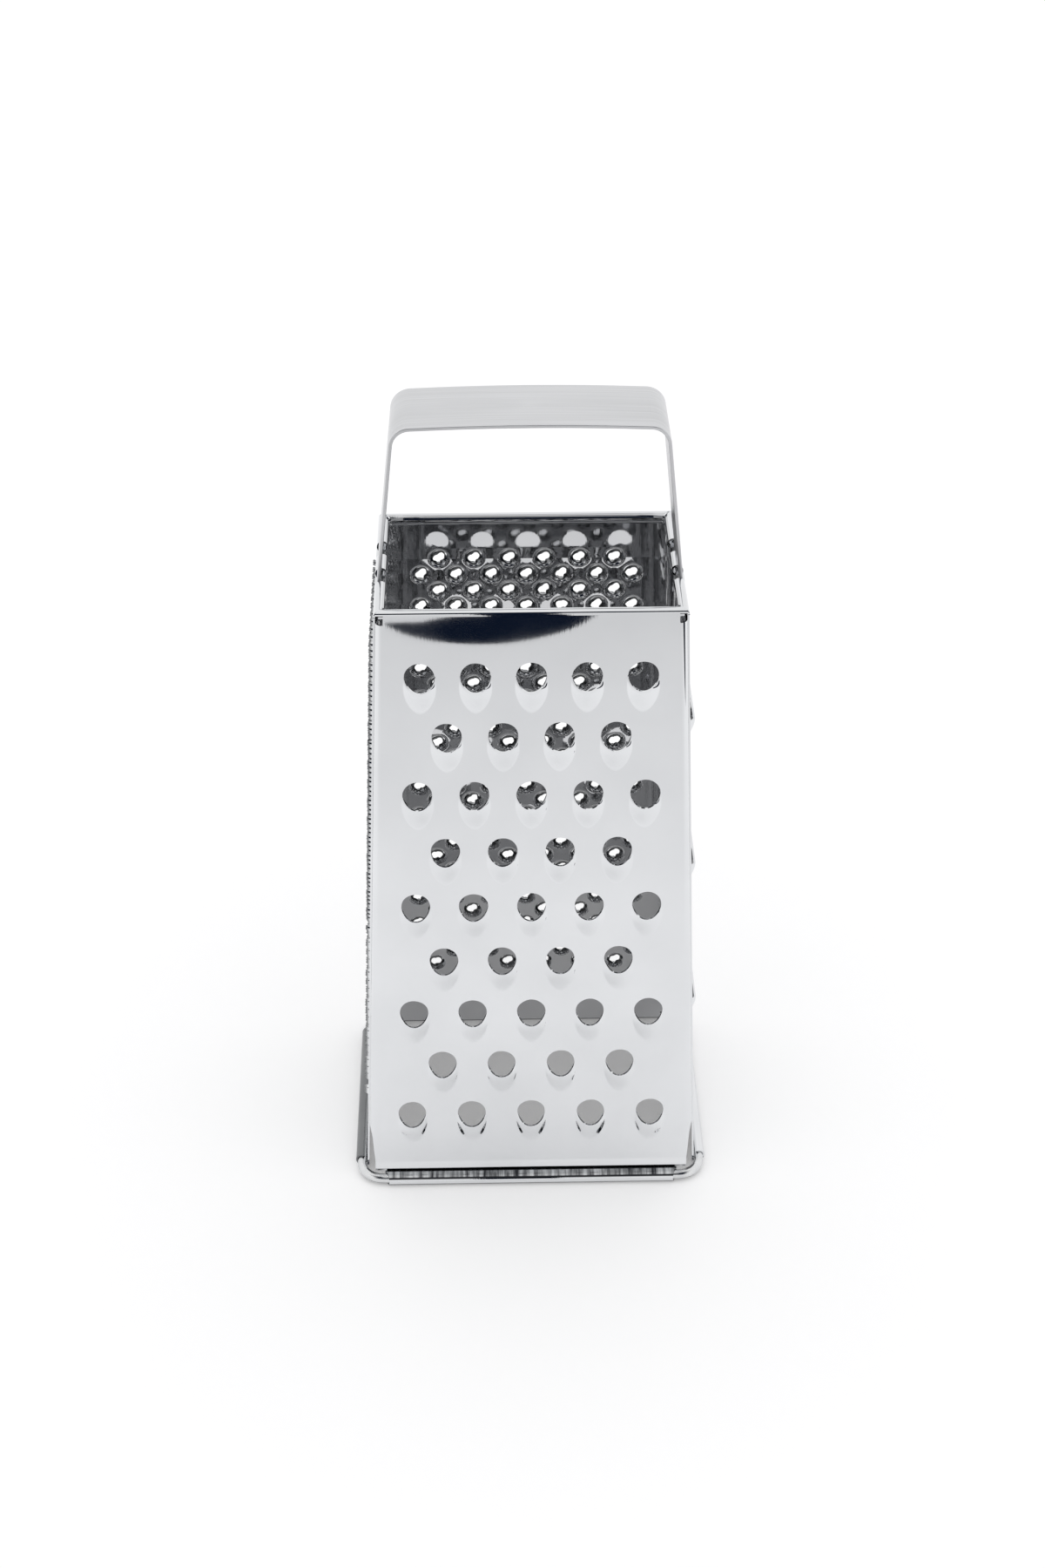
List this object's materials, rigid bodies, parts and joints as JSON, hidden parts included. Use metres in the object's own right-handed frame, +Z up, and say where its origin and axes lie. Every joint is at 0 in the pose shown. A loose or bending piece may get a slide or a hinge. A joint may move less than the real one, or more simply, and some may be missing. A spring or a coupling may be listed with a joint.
{
  "type": "box grater",
  "caption": "Four-sided tapering sheet-steel grater with coarse, medium and fine teeth, slicing blades, rolled rim, wired base and a bent strap handle.",
  "frame": {"origin": "middle of the base outline, on the surface that the grater stands on", "axes": "+Z up through the handle, X across the wide walls, -Y towards the coarse wall in front"},
  "size_m": [0.1026, 0.0792, 0.23],
  "materials": {
    "front_panel": "bright rolled stainless sheet",
    "back_panel": "bright rolled stainless sheet",
    "left_panel": "bright rolled stainless sheet",
    "right_panel": "bright rolled stainless sheet",
    "base_wire": "bright drawn steel wire",
    "handle_strap": "satin steel strap, brushed lengthwise"
  },
  "bodies": {
    "root": {"front_panel": "front_panel", "back_panel": "back_panel", "left_panel": "left_panel", "right_panel": "right_panel", "base_wire": "base_wire", "handle_strap": "handle_strap"}
  },
  "joints": []
}
